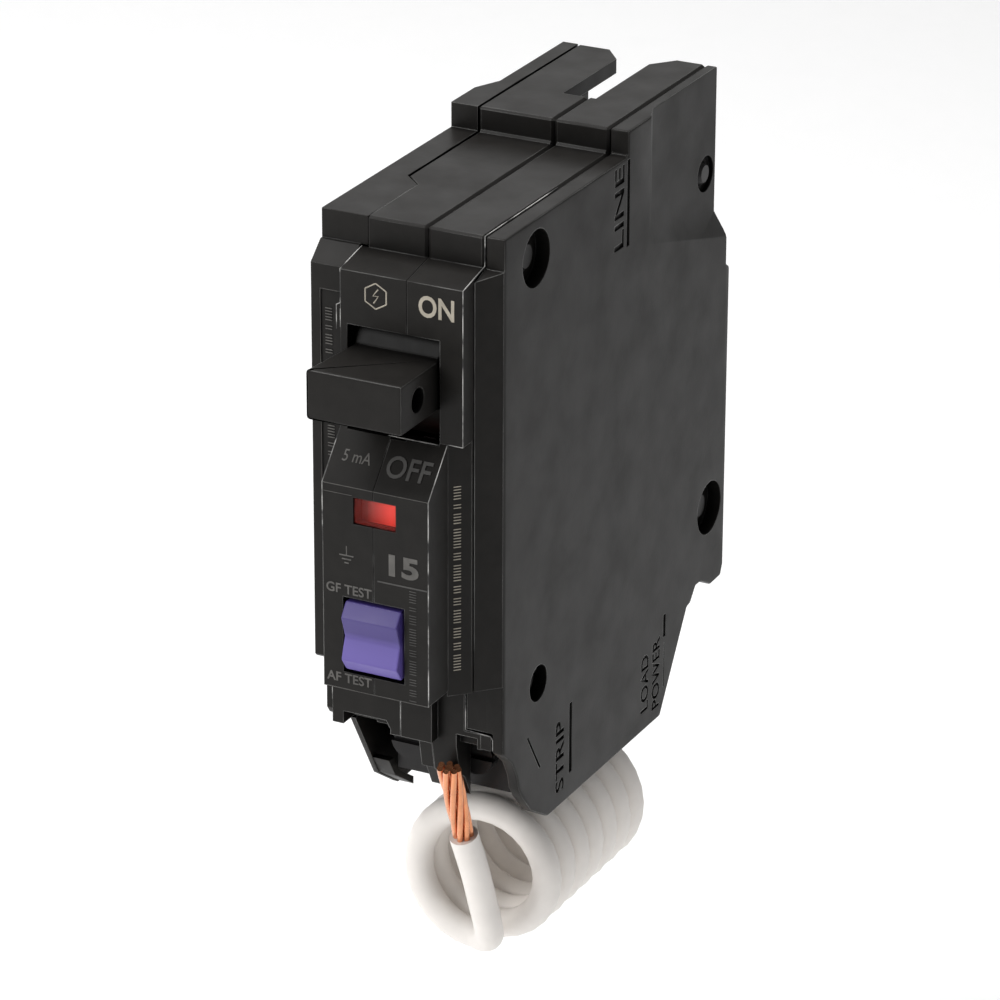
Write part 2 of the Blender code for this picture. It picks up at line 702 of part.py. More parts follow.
def contact_arm():
    pivot = (ARM_X[0], *ARM_PIVOT)
    outline = bar_outline(ARM_PIVOT, on_arm(ARM_LENGTH, 0), 4.0)
    arm = add_object("contact_arm", prism(outline, *ARM_X), copper("contact_arm"), pivot)
    cut(arm, cross_rod(ARM_PIVOT, (0, WIDTH), 1.3, 16))
    middle = sum(ARM_X) / 2
    pad = rod((middle, *on_arm(19.5, 2.3)), (middle, *on_arm(19.5, 3.1)), 1.5, 20)
    add_object("moving_contact", pad, silver("moving_contact"), pivot, smooth=True)


def line_jaw():
    """Strap from the fixed contact to the two spring leaves that grip the panel's stab."""
    jaw = add_object("line_jaw", box((15.3, 21.0), (30.5, 38.0), (-12.4, -11.2)), copper("line_jaw"))
    join(jaw, box((15.35, 16.55), (35.0, 48.3), (-12.35, -5.0)))
    join(jaw, box((10.2, 16.6), (47.4, 48.6), (-12.3, -4.95)))
    leaf = [(10.2, 48.0), (11.2, 48.0), (12.6, 55.5), (11.6, 59.5), (10.6, 59.5), (11.6, 55.5)]
    mirror = sum(STAB_X)
    join(jaw, plan_prism(leaf, -12.25, -5.05))
    join(jaw, plan_prism([(mirror - x, y) for x, y in leaf], -12.25, -5.05))
    pad = rod((19.0, 33.0, -13.5), (19.0, 33.0, -12.7), 1.7, 20)
    add_object("stationary_contact", pad, silver("stationary_contact"), smooth=True)


def arc_chute():
    """Steel plates on one spine, in the path of the opening contact."""
    top, pitch, count = -15.6, 2.9, 6
    finish = material("arc_chute", (0.42, 0.4, 0.38), 0.5, 0.8)
    spine = (top - 0.8 - pitch * (count - 1), top)
    chute = add_object("arc_chute", box((15.3, 23.2), (42.6, 43.6), spine), finish)
    for i in range(count):
        level = top - pitch * i
        width = 0.05 * (i % 2)
        join(chute, box((15.4 + width, 23.1 - width), (38.2, 43.0), (level - 0.75, level - 0.05)))


def helix(name, start, end, radius, wire, turns, finish, pivot=None):
    """A coil spring as a bevelled curve from start to end."""
    start, end = Vector(start), Vector(end)
    turn = (end - start).to_track_quat("Z", "Y").to_matrix()
    steps = 10 * turns
    points = []
    for i in range(steps + 1):
        angle = math.tau * i / 10
        side = Vector((radius * math.cos(angle), radius * math.sin(angle), 0))
        points.append(start + (end - start) * i / steps + turn @ side)
    return tube(name, points, wire, finish, 1, pivot)


def tube(name, points, radius, finish, resolution=2, pivot=None):
    """A round bar along a line of points, with closed ends."""
    pivot = Vector(pivot or points[0])
    curve = bpy.data.curves.new(name, "CURVE")
    curve.dimensions = "3D"
    curve.bevel_depth = radius * MM
    curve.bevel_resolution = resolution
    curve.use_fill_caps = True
    line = curve.splines.new("POLY")
    line.points.add(len(points) - 1)
    for corner, point in zip(line.points, points):
        corner.co = (*((Vector(point) - pivot) * MM), 1.0)
    curve.materials.append(finish)
    made = bpy.data.objects.new(name, curve)
    made.location = (pivot - ORIGIN) * MM
    bpy.context.collection.objects.link(made)
    return made


def smooth_route(points, steps):
    """Points on the smooth curve through the given ones, evenly along each stretch."""
    knots = [Vector(point) for point in points]
    knots = [2 * knots[0] - knots[1]] + knots + [2 * knots[-1] - knots[-2]]
    route = [knots[1]]
    for a, b, c, d in zip(knots, knots[1:], knots[2:], knots[3:]):
        for i in range(1, steps + 1):
            t = i / steps
            bend = (2 * a - 5 * b + 4 * c - d) * t * t + (3 * b - a - 3 * c + d) * t * t * t
            route.append(b + ((c - a) * t + bend) / 2)
    return route


def cradle():
    pivot = (20.6, *CRADLE_PIVOT)
    shape = prism(bar_outline(CRADLE_PIVOT, (24.6, -36.8), 4.4), 20.6, 21.8)
    arm = add_object("cradle", shape, steel("cradle"), pivot)
    cut(arm, cross_rod(CRADLE_PIVOT, (0, WIDTH), 1.3, 16))
    ends = (16.6, 16.4, -32.0), (16.6, 25.5, -26.4)
    helix("toggle_spring", *ends, 1.0, 0.28, 7, steel("toggle_spring"), pivot)


# Trip parts


def magnetic_trip():
    add_object("bimetal", box((16.9, 21.1), (33.0, 33.7), (-61.0, -41.0)), brass("bimetal"))
    yoke = add_object("magnet_yoke", box((15.4, 22.6), (35.2, 36.3), (-55.0, -45.0)), steel("magnet_yoke"))
    join(yoke, box((15.45, 16.4), (31.6, 35.8), (-54.95, -45.05)))
    join(yoke, box((21.6, 22.55), (31.6, 35.8), (-54.95, -45.05)))
    y, z = ARMATURE_PIVOT
    pivot = (15.6, y, z)
    plate = box((15.6, 22.4), (y - 0.5, y + 0.5), (-57.0, z - 0.8))
    armature = add_object("armature", plate, steel("armature"), pivot)
    join(armature, cross_rod((y, z), (15.65, 22.35), 1.6, 20))
    cut(armature, cross_rod((y, z), (0, WIDTH), 0.9, 16))


def solenoid():
    """Frame, winding, plunger and return spring; the plunger pushes the armature's top."""
    x, z = 19.2, -38.5
    base = box((15.4, 23.0), (41.0, 55.0), (-44.4, -43.4))
    frame = add_object("solenoid_frame", base, steel("solenoid_frame"))
    for y in (41.0, 54.0):
        join(frame, box((15.45, 22.95), (y + 0.05, y + 0.95), (-44.0, -33.6)))
    cut(frame, rod((x, 40, z), (x, 56, z), 1.9))
    coil = rod((x, 42.3, z), (x, 53.7, z), 3.6)
    winding = add_object("solenoid_coil", coil, copper("solenoid_coil"), smooth=True)
    cut(winding, rod((x, 41, z), (x, 55, z), 1.9))
    stem = rod((x, 34.6, z), (x, 51.0, z), 1.4)
    plunger = add_object("solenoid_plunger", stem, steel("solenoid_plunger"), smooth=True)
    join(plunger, rod((x, 34.2, z), (x, 35.3, z), 2.3))
    helix("plunger_spring", (x, 35.9, z), (x, 40.5, z), 1.95, 0.2, 4, steel("plunger_spring"))


def electronics():
    board_x = (4.4, 5.6)
    top = board_x[1] + GAP
    finish = material("circuit_board", (0.03, 0.22, 0.1), 0.45)
    add_object("circuit_board", box(board_x, (31.5, 58.6), (-64.0, -18.8)), finish)
    dark = material("control_chip", (0.02, 0.02, 0.022), 0.35)
    add_object("control_chip", box((top, top + 1.6), (38.0, 45.0), (-40.0, -33.0)), dark)
    can = material("capacitor", (0.05, 0.07, 0.16), 0.4)
    add_object("capacitor", cross_rod((52.0, -30.0), (top, 12.2), 3.5), can, smooth=True)
    disc = material("varistor", (0.08, 0.2, 0.5), 0.5)
    add_object("varistor", rod((9.2, 36.0, -54.0), (9.2, 39.4, -54.0), 3.2), disc, smooth=True)
    body = material("resistor", (0.72, 0.62, 0.45), 0.5)
    add_object("resistor", rod((7.8, 44.0, -58.0), (7.8, 54.0, -58.0), 1.6, 16), body, smooth=True)


def sensors():
    """Two ring cores stacked round the neutral strap."""
    centre = (8.4, 26.0)
    for name, top in (("ground_fault_sensor", -67.6), ("arc_fault_sensor", -62.0)):
        ring = rod((*centre, top - 4.4), (*centre, top), 4.1)
        core = add_object(name, ring, material(name, (0.5, 0.33, 0.08), 0.5), smooth=True)
        cut(core, rod((*centre, top - 6), (*centre, top + 1), 1.7))


# Terminals and current path


def terminal(side, x):
    """Box lug with a wire way along z, a clamping plate and a slotted screw from the front."""
    width = 6.8
    left = x - width / 2
    body = box((left, left + width), (8.0, 16.6), (-79.5, -70.6))
    lug = add_object(f"{side}_lug", body, brass(f"{side}_lug"))
    cut(lug, box((x - 2.2, x + 2.2), (9.2, 15.6), (-85.0, -65.0)))
    cut(lug, rod((x, 7.0, -73.6), (x, 10.0, -73.6), 1.7, 20))
    pivot = (x, 4.7, -73.6)
    head = rod((x, 4.7, -73.6), (x, 6.7, -73.6), 2.6, 24)
    screw = add_object(f"{side}_screw", head, steel(f"{side}_screw"), pivot, smooth=True)
    join(screw, rod((x, 6.4, -73.6), (x, 9.9, -73.6), 1.35, 16))
    cut(screw, box((x - 3, x + 3), (4.0, 5.5), (-74.0, -73.2)))
    plate = box((x - 1.8, x + 1.8), (10.2, 10.9), (-79.0, -71.2))
    add_object(f"{side}_clamp", plate, steel(f"{side}_clamp"))


def current_path():
    terminal("load", 18.8)
    terminal("neutral", 9.2)
    load = [(34.2, -57.0), (35.0, -57.0), (35.0, -75.4), (16.95, -75.4), (16.95, -74.2), (34.2, -74.2)]
    add_object("load_strap", prism(load, 17.4, 20.6), copper("load_strap"))
    neutral = [(26.6, -58.0), (25.4, -58.0), (25.4, -74.2), (16.95, -74.2), (16.95, -75.4), (26.6, -75.4)]
    add_object("neutral_strap", prism(neutral, 7.9, 9.1), copper("neutral_strap"))
    route = [
        (19.0, 32.4, -62.4),
        (18.4, 27.0, -63.2),
        (16.4, 16.0, -56.0),
        (15.8, 10.4, -44.0),
        (15.9, 9.6, -34.0),
        (17.0, 10.4, -25.0),
        (18.8, 12.2, -20.6),
    ]
    tube("flexible_braid", smooth_route(route, 4), 0.75, copper("flexible_braid"))


# Front controls


def controls():
    fit = 0.12
    x = (WINDOW_X[0] + fit, WINDOW_X[1] - fit)
    lens = box(x, (LEVEL_B + 0.1, LEVEL_B + 1.2), (WINDOW_Z[0] + fit, WINDOW_Z[1] - fit))
    add_object("window_lens", lens, material("window_lens", (0.95, 0.55, 0.5), 0.12, 0.0, 0.45))
    red = material("trip_flag", (0.72, 0.04, 0.03), 0.4)
    flag = add_object("trip_flag", box((9.9, 15.5), (-8.9, -8.0), (-37.4, -33.0)), red)
    join(flag, box((12.0, 13.6), (-8.4, -2.4), (-36.0, -34.8)))
    y, z = BUTTON_PIVOT
    outline = [
        (-10.9, BUTTON_Z[1]),
        (-12.2, -49.3),
        (-11.2, z),
        (-12.2, -55.1),
        (-10.9, BUTTON_Z[0]),
        (-8.4, BUTTON_Z[0]),
        (-5.6, z - 1.6),
        (-5.6, z + 1.6),
        (-8.4, BUTTON_Z[1]),
    ]
    purple = material("test_button", (0.12, 0.08, 0.42), 0.42)
    button = add_object("test_button", prism(outline, *BUTTON_X), purple, (BUTTON_X[0], y, z))
    round_edges(button, 0.25)
    join(button, cross_rod((y, z), (ESCUTCHEON_LEFT + 0.9, ESCUTCHEON_RIGHT - 0.9), 0.9, 16))
    leaf = [(2.6, -57.5), (3.2, -57.5), (3.2, -48.5), (-3.4, -46.5), (-3.6, -47.1), (2.6, -49.0)]
    add_object("test_contact", prism(leaf, 8.6, 11.0), brass("test_contact"))


# Neutral lead


def neutral_lead():
    """Grommet, the lead's run to the coil, the coil's outer form, and the bared free end."""
    white = (0.82, 0.81, 0.77)
    rubber = material("lead_grommet", (0.1, 0.1, 0.1), 0.6)
    grommet = add_object("lead_grommet", on_exit(-2.6, 1.4, 2.85), rubber)
    join(grommet, on_exit(GAP, 1.3, 3.9))
    cut(grommet, on_exit(-5, 5, WIRE_RADIUS + GAP))
    tube("pigtail_lead", smooth_route(LEAD_ROUTE, 5), WIRE_RADIUS, material("pigtail_lead", white, 0.45))
    x, z = COIL_CENTRE
    coil = rod((x, COIL_Y[0], z), (x, COIL_Y[1], z), COIL_RADIUS, 40)
    add_object("pigtail_coil", coil, material("pigtail_coil", white, 0.45), smooth=True)
    tube("pigtail_tail", smooth_route(TAIL_ROUTE, 4), WIRE_RADIUS, material("pigtail_tail", white, 0.45))
    strands = rod(*STRAND_ENDS, STRAND_RADIUS, 16)
    add_object("pigtail_strands", strands, copper("pigtail_strands"), smooth=True)


def build():
    left_cover()
    center_left_case()
    center_right_case()
    right_cover()
    rivets()
    handle()
    pins()
    contact_arm()
    line_jaw()
    arc_chute()
    cradle()
    magnetic_trip()
    solenoid()
    electronics()
    sensors()
    current_path()
    controls()
    neutral_lead()


def clear_scene():
    for old in list(bpy.data.objects):
        bpy.data.objects.remove(old, do_unlink=True)


clear_scene()
build()
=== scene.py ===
"""Looks of the ground-fault breaker: its shells and marks, its controls and its coiled neutral lead.

Sizes are millimetres in the case's own drawing frame, as in the CAD: x from the left side, y back from
the front of the top band, z up from the top of the front body. at() turns them into the frame's metres.
"""

import json
import math

import bmesh
import bpy
from mathutils import Matrix, Vector


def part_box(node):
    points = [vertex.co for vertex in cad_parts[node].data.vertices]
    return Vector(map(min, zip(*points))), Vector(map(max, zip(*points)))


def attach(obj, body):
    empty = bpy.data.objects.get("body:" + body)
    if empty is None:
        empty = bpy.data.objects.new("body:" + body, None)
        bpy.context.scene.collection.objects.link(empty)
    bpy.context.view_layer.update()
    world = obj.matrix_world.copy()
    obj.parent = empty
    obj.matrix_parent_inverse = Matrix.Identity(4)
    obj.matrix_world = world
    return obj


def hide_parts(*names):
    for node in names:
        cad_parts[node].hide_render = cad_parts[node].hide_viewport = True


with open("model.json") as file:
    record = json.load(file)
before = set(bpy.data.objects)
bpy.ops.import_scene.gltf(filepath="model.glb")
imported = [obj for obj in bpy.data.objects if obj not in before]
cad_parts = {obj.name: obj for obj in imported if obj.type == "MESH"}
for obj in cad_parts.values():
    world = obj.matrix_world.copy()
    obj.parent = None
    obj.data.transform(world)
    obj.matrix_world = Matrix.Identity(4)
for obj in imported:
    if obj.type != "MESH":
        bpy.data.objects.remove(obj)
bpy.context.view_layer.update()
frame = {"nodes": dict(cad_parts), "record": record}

MM = 0.001
CASE_DEPTH = 67.3
STEP_TOP = 3.4
LEFT_SIDE = -0.35
ESCUTCHEON_LEFT = 5.3
RIGHT_SIDE = 25.3
LEFT_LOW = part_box("left_cover")[0]
RIGHT_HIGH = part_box("right_cover")[1]
DATUM = Vector((LEFT_LOW.x - LEFT_SIDE * MM, RIGHT_HIGH.y - CASE_DEPTH * MM, RIGHT_HIGH.z - STEP_TOP * MM))


def at(x, y, z):
    """A drawing point in the frame's metres."""
    return DATUM + Vector((x, y, z)) * MM


def link(name, data):
    """A new object in the scene."""
    made = bpy.data.objects.new(name, data)
    bpy.context.scene.collection.objects.link(made)
    return made


# Camera

CAMERA_AZIMUTH = math.radians(26.9)
CAMERA_ELEVATION = math.radians(23.12)
CAMERA_ROLL = math.radians(0.23)
CAMERA_LENS = 183.06
CAMERA_SENSOR = 36.0
CAMERA_PLACE = (289.3, -521.5, 215.0)


def camera():
    """The view from above the front right."""
    data = bpy.data.cameras.new("camera")
    data.lens = CAMERA_LENS
    data.sensor_width = CAMERA_SENSOR
    data.clip_start = 0.05
    data.clip_end = 20.0
    made = link("camera", data)
    turn = (
        Matrix.Rotation(CAMERA_AZIMUTH, 4, "Z")
        @ Matrix.Rotation(math.pi / 2 - CAMERA_ELEVATION, 4, "X")
        @ Matrix.Rotation(CAMERA_ROLL, 4, "Z")
    )
    made.matrix_world = Matrix.Translation(at(*CAMERA_PLACE)) @ turn
    bpy.context.scene.camera = made


# Materials

MOTTLE_SCALE = 420.0
GLOSS_SCALE = 160.0
# Size of the patches of the painted highlight along the edges.
EDGE_HIGHLIGHT_SCALE = 110.0
GRAIN_SCALE = 2600.0
GRAIN = 0.00001
EDGE_ROUND = 0.2
# Colour of the painted shade in hollows.
PAINTED_HOLLOW_SHADE = (0.001, 0.001, 0.001)


class Nodes:
    """A short way to add nodes to a material and to link them."""

    def __init__(self, name):
        self.material = bpy.data.materials.new(name)
        self.material.use_nodes = True
        self.tree = self.material.node_tree
        self.shader = self.tree.nodes["Principled BSDF"]

    def add(self, kind, **settings):
        """A node, with each setting given to its property or, where it has none, to its input."""
        node = self.tree.nodes.new(kind)
        for key, value in settings.items():
            if hasattr(node, key):
                setattr(node, key, value)
            else:
                node.inputs[key.replace("_", " ")].default_value = value
        return node

    def join(self, out, into):
        self.tree.links.new(out, into)

    def noise(self, scale, detail=3.0):
        place = self.add("ShaderNodeTexCoord")
        node = self.add("ShaderNodeTexNoise", Scale=scale, Detail=detail)
        self.join(place.outputs["Object"], node.inputs["Vector"])
        return node.outputs[0]

    def ranged(self, value, low, high, to_low, to_high):
        """The value, moved from one range to another."""
        node = self.add("ShaderNodeMapRange")
        names = ("From Min", "From Max", "To Min", "To Max")
        for key, number in zip(names, (low, high, to_low, to_high)):
            node.inputs[key].default_value = number
        self.join(value, node.inputs["Value"])
        return node.outputs["Result"]

    def mixed(self, factor, first, second):
        """A colour between two, each of them a colour or another node's output."""
        node = self.add("ShaderNodeMix", data_type="RGBA")
        self.join(factor, node.inputs["Factor"])
        for socket, colour in ((node.inputs[6], first), (node.inputs[7], second)):
            if isinstance(colour, tuple):
                socket.default_value = (*colour, 1.0)
            else:
                self.join(colour, socket)
        return node.outputs[2]

    def times(self, first, second):
        node = self.add("ShaderNodeMath", operation="MULTIPLY")
        self.join(first, node.inputs[0])
        self.join(second, node.inputs[1])
        return node.outputs[0]


def finish(name, colour, rough, metal=0.0, gloss=0.5, varied=0.12, edge_highlight=None, hollow_shade_depth=0.0):
    """A surface with mottled colour and gloss and a fine grain.

    The edge colour is a painted highlight on its rounded edges, patchy along them; the recess depth is how
    deep a hollow is before painted shade darkens it towards black.
    """
    made = Nodes(name)
    shader = made.shader
    shader.inputs["Metallic"].default_value = metal
    shader.inputs["Specular IOR Level"].default_value = gloss
    spots = made.noise(MOTTLE_SCALE)
    dark = tuple(c * (1 - varied) for c in colour)
    light = tuple(min(1.0, c * (1 + varied)) for c in colour)
    body = made.mixed(made.ranged(spots, 0.3, 0.7, 0.0, 1.0), dark, light)
    gloss_spots = made.ranged(made.noise(GLOSS_SCALE), 0.3, 0.7, rough * 0.85, rough * 1.15)
    made.join(gloss_spots, shader.inputs["Roughness"])
    bump = made.add("ShaderNodeBump", Distance=GRAIN, Strength=0.6)
    made.join(made.noise(GRAIN_SCALE, 2.0), bump.inputs["Height"])
    # Painted highlight: rounded edges are lightened in the colour, patchily, standing in for the light they
    # catch.
    if edge_highlight:
        round_off = made.add("ShaderNodeBevel", samples=6, Radius=EDGE_ROUND * MM)
        flat = made.add("ShaderNodeNewGeometry")
        dot = made.add("ShaderNodeVectorMath", operation="DOT_PRODUCT")
        made.join(round_off.outputs[0], dot.inputs[0])
        made.join(flat.outputs["Normal"], dot.inputs[1])
        edge_highlight_mask = made.ranged(dot.outputs["Value"], 0.985, 0.86, 0.0, 1.0)
        patchy = made.ranged(made.noise(EDGE_HIGHLIGHT_SCALE, 4.0), 0.38, 0.62, 0.1, 1.0)
        body = made.mixed(made.times(edge_highlight_mask, patchy), body, edge_highlight)
        made.join(round_off.outputs[0], bump.inputs["Normal"])
    # Painted shade: hollows are darkened towards black in the colour, standing in for the shade that falls
    # in them.
    if hollow_shade_depth:
        hollow = made.add("ShaderNodeAmbientOcclusion", samples=6, Distance=hollow_shade_depth * MM)
        shade = made.ranged(hollow.outputs["AO"], 0.35, 0.8, 0.0, 1.0)
        body = made.mixed(shade, PAINTED_HOLLOW_SHADE, body)
    made.join(body, shader.inputs["Base Color"])
    made.join(bump.outputs[0], shader.inputs["Normal"])
    return made


CASE_COLOUR = (0.0162, 0.015, 0.0138)
# Colour of the painted highlight on the case's edges.
CASE_EDGE_HIGHLIGHT = (0.3, 0.3, 0.29)

FINISHES = {
    "case_black": dict(colour=CASE_COLOUR, rough=0.38, gloss=0.125, edge_highlight=CASE_EDGE_HIGHLIGHT, hollow_shade_depth=6.0),
    "steel": dict(colour=(0.3, 0.3, 0.31), rough=0.34, metal=1.0),
    "copper": dict(colour=(0.8, 0.33, 0.16), rough=0.24, metal=0.8),
    "brass": dict(colour=(0.2, 0.17, 0.11), rough=0.42, metal=1.0),
    "contact_silver": dict(colour=(0.78, 0.76, 0.72), rough=0.26, metal=1.0),
    "board_green": dict(colour=(0.012, 0.08, 0.03), rough=0.4),
    "chip_black": dict(colour=(0.02, 0.02, 0.022), rough=0.5),
    "capacitor_blue": dict(colour=(0.02, 0.03, 0.1), rough=0.3),
    "varistor_blue": dict(colour=(0.03, 0.1, 0.35), rough=0.25),
    "resistor_tan": dict(colour=(0.55, 0.4, 0.24), rough=0.4),
    "core_amber": dict(colour=(0.32, 0.16, 0.02), rough=0.35),
    "grommet_black": dict(colour=(0.012, 0.012, 0.012), rough=0.6),
    "wire_white": dict(colour=(0.92, 0.875, 0.83), rough=0.5, varied=0.02),
}


def cad_materials():
    """The CAD nodes that stay in view take the finish of their record slot, except the terminal pocket parts
    and rivets, whose dark steel is partly painted shade, and the bare metal inside, whose dark copper colour
    is painted shade.
    """
    made = {slot: finish(slot, **look).material for slot, look in FINISHES.items()}
    made["flag_red"] = flag_material()
    made["lens_clear"] = lens_material()
    made["button_purple"] = button_material()
    # Dark steel for the pocket parts and rivets: partly their real dark finish, partly painted shade of the
    # deep pockets and holes.
    dark = finish("dark_steel_with_painted_shade", (0.02, 0.019, 0.019), 0.4, metal=0.6).material
    # Painted shade: the bare metal inside the case is darkened to stand in for the shade inside it.
    inner_metal_shade = finish("inner_metal_painted_shade", (0.05, 0.03, 0.024), 0.5, metal=0.8).material
    for part in frame["record"]["subparts"]:
        node = frame["nodes"][part["node"]]
        in_pocket = part["node"].startswith(("load_", "neutral_", "rivet_"))
        bare = part["material_slot"] in ("copper", "brass", "steel")
        inside = inner_metal_shade if bare else made[part["material_slot"]]
        node.data.materials.clear()
        node.data.materials.append(dark if in_pocket else inside)
    return made


def flag_material():
    """Bright red on the right, and in the shade of the window's frame on the left."""
    made = finish("flag_red", (0.85, 0.035, 0.02), 0.35)
    place = made.add("ShaderNodeTexCoord")
    split = made.add("ShaderNodeSeparateXYZ")
    made.join(place.outputs["Object"], split.inputs[0])
    across = made.ranged(split.outputs["X"], at(10.6, 0, 0).x, at(14.0, 0, 0).x, 0.0, 1.0)
    colour = made.mixed(across, (0.035, 0.006, 0.005), (0.95, 0.055, 0.035))
    made.join(colour, made.shader.inputs["Base Color"])
    # Painted glow: the flag emits its own red so that it looks lit.
    made.join(colour, made.shader.inputs["Emission Color"])
    made.shader.inputs["Emission Strength"].default_value = 0.4
    return made.material


def lens_material():
    """Clear plastic with a red tint."""
    made = finish("lens_clear", (0.62, 0.06, 0.045), 0.12, varied=0.05)
    made.shader.inputs["Alpha"].default_value = 0.14
    return made.material


def button_material():
    """Purple, with painted shade: darker on the upper rocker pad than on the lower one, and a painted
    highlight on its edges.
    """
    made = finish("button_purple", (0.1, 0.07, 0.32), 0.4, edge_highlight=(0.2, 0.17, 0.45))
    place = made.add("ShaderNodeTexCoord")
    split = made.add("ShaderNodeSeparateXYZ")
    made.join(place.outputs["Object"], split.inputs[0])
    # Painted shade: the colour darkens towards the top of the button.
    painted_shade_ramp = made.ranged(split.outputs["Z"], at(0, 0, -51.4).z, at(0, 0, -52.6).z, 0.0, 1.0)
    colour = made.mixed(painted_shade_ramp, (0.062, 0.042, 0.21), (0.135, 0.098, 0.38))
    made.join(colour, made.shader.inputs["Base Color"])
    return made.material


# Shells

TEXT_RAISE = 0.05
CAP_SHARE = 0.7
WELD_GAP = 0.002
SHARP_ANGLE = math.radians(25)


def flattened(source):
    """The object's evaluated shape as a mesh of its own, with its turn and place in the vertices."""
    bpy.context.view_layer.update()
    graph = bpy.context.evaluated_depsgraph_get()
    mesh = bpy.data.meshes.new_from_object(source.evaluated_get(graph))
    mesh.transform(source.matrix_world)
    return mesh


def welded(mesh):
    """Joins the mesh's doubled vertices."""
    shape = bmesh.new()
    shape.from_mesh(mesh)
    bmesh.ops.remove_doubles(shape, verts=shape.verts, dist=WELD_GAP * MM)
    shape.to_mesh(mesh)
    shape.free()


def smoothed(made):
    """Rounds the shading across gentle bends only, and keeps large faces flat beside small ones."""
    mesh = made.data
    if "custom_normal" in mesh.attributes:
        mesh.attributes.remove(mesh.attributes["custom_normal"])
    mesh.shade_smooth()
    mesh.set_sharp_from_angle(angle=SHARP_ANGLE)
    weighted = made.modifiers.new("weighted", "WEIGHTED_NORMAL")
    weighted.keep_sharp = True
    weighted.weight = 100


def lettering(text, size, middle, turn, thickness, bold=0.0, wide=1.0):
    """Letters standing on a face: middle is the drawing point under their centre, size their full height."""
    data = bpy.data.curves.new("letters", "FONT")
    data.body = text
    data.size = size / CAP_SHARE * MM
    data.extrude = thickness * MM
    data.offset = bold * MM
    data.align_x = "CENTER"
    data.align_y = "CENTER"
    data.resolution_u = 4
    made = link("letters", data)
    made.matrix_world = Matrix.Translation(at(*middle)) @ turn @ Matrix.Diagonal((wide, 1, 1, 1))
    return made


ON_FRONT = Matrix.Rotation(math.pi / 2, 4, "X")
ON_RIGHT = Matrix(((0, 0, 1, 0), (0, -1, 0, 0), (1, 0, 0, 0), (0, 0, 0, 1)))


def block(x, y, z):
    """A closed box, as a cutter or as a thin mark."""
    mesh = bpy.data.meshes.new("cutter")
    shape = bmesh.new()
    bmesh.ops.create_cube(shape, size=1.0)
    low, high = at(min(x), min(y), min(z)), at(max(x), max(y), max(z))
    for corner in shape.verts:
        corner.co = Vector(l if c < 0 else h for c, l, h in zip(corner.co, low, high))
    shape.to_mesh(mesh)
    shape.free()
    return link("cutter", mesh)


def strip(start, end, width, x):
    """A slanting groove's cutter on the right side, between two (y, z) points."""
    made = block(x, (-0.5, 0.5), (-0.5, 0.5))
    run = Vector((end[0] - start[0], end[1] - start[1]))
    across = Vector((-run.y, run.x)).normalized() * width
    middle = Vector(((start[0] + end[0]) / 2, (start[1] + end[1]) / 2))
    for corner in made.data.vertices:
        along = corner.co.y > at(0, 0, 0).y
        up = corner.co.z > at(0, 0, 0).z
        point = middle + run * (0.5 if along else -0.5) + across * (0.5 if up else -0.5)
        corner.co = at((corner.co.x - DATUM.x) / MM, point.x, point.y)
    return made


PARTINGS = (3.6, 6.3, 11.4, 12.5, 14.6, 22.5)
CAD_GAP = 0.3
SEEN_GAP = 0.08
GAP_TOLERANCE = 0.06
EDGE_TOLERANCE = 0.01


def tightened(mesh):
    """Brings the shells' parting faces together, which the CAD keeps further apart than the moulder does."""
    for corner in mesh.vertices:
        x = (corner.co.x - DATUM.x) / MM
        for parting in PARTINGS:
            away = x - parting
            if abs(abs(away) - CAD_GAP / 2) < GAP_TOLERANCE:
                corner.co.x = DATUM.x + (parting + math.copysign(SEEN_GAP / 2, away)) * MM
        if abs(x - (ESCUTCHEON_LEFT - CAD_GAP)) < EDGE_TOLERANCE:
            corner.co.x = DATUM.x + (ESCUTCHEON_LEFT - SEEN_GAP) * MM


def shell(node, name, cutters=()):
    """A CAD shell with its vertices joined, its marks cut in, and its sharp edges kept sharp."""
    mesh = frame["nodes"][node].data.copy()
    welded(mesh)
    tightened(mesh)
    made = link(name, mesh)
    for cutter in cutters:
        shape = flattened(cutter)
        welded(shape)
        bpy.data.objects.remove(cutter)
        tool = link("tool", shape)
        cut = made.modifiers.new("cut", "BOOLEAN")
        cut.object = tool
        cut.solver = "EXACT"
        made.data = flattened(made)
        made.modifiers.clear()
        bpy.data.objects.remove(tool)
    smoothed(made)
    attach(made, "case")
    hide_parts(node)
    return made


ENGRAVED = 0.3


def side_marks():
    """Engraved words and gauge bars on the right side."""
    depth = (RIGHT_SIDE - ENGRAVED, RIGHT_SIDE + 0.5)
    x = RIGHT_SIDE
    return [
        lettering("LINE", 2.7, (x, 32.5, -6.4), ON_RIGHT, ENGRAVED, 0.05, 1.5),
        block(depth, (34.6, 35.4), (-12.2, -0.4)),
        lettering("LOAD", 2.2, (x, 42.4, -77.6), ON_RIGHT, ENGRAVED, 0.06, 1.0),
        lettering("POWER", 2.2, (x, 45.9, -77.6), ON_RIGHT, ENGRAVED, 0.06, 0.96),
        block(depth, (47.9, 48.7), (-73.0, -69.7)),
        block(depth, (48.2, 48.4), (-80.5, -74.0)),
        lettering("STRIP", 2.3, (x, 16.6, -77.3), ON_RIGHT, ENGRAVED, 0.05, 1.3),
        block(depth, (19.2, 20.0), (-80.9, -70.8)),
        strip((7.0, -70.6), (10.6, -76.3), 0.35, depth),
    ]


def shells(black):
    """The four moulded layers of the case, the outer two with their grooves and marks."""
    made = [
        shell("left_cover", "cover_left", [block((1.0, 4.9), (-4.0, -2.8), (-59.4, -9.5))]),
        shell("center_left_case", "case_left"),
        shell("center_right_case", "case_right"),
        shell("right_cover", "cover_right", side_marks()),
    ]
    for piece in made:
        piece.data.materials.clear()
        piece.data.materials.append(black)


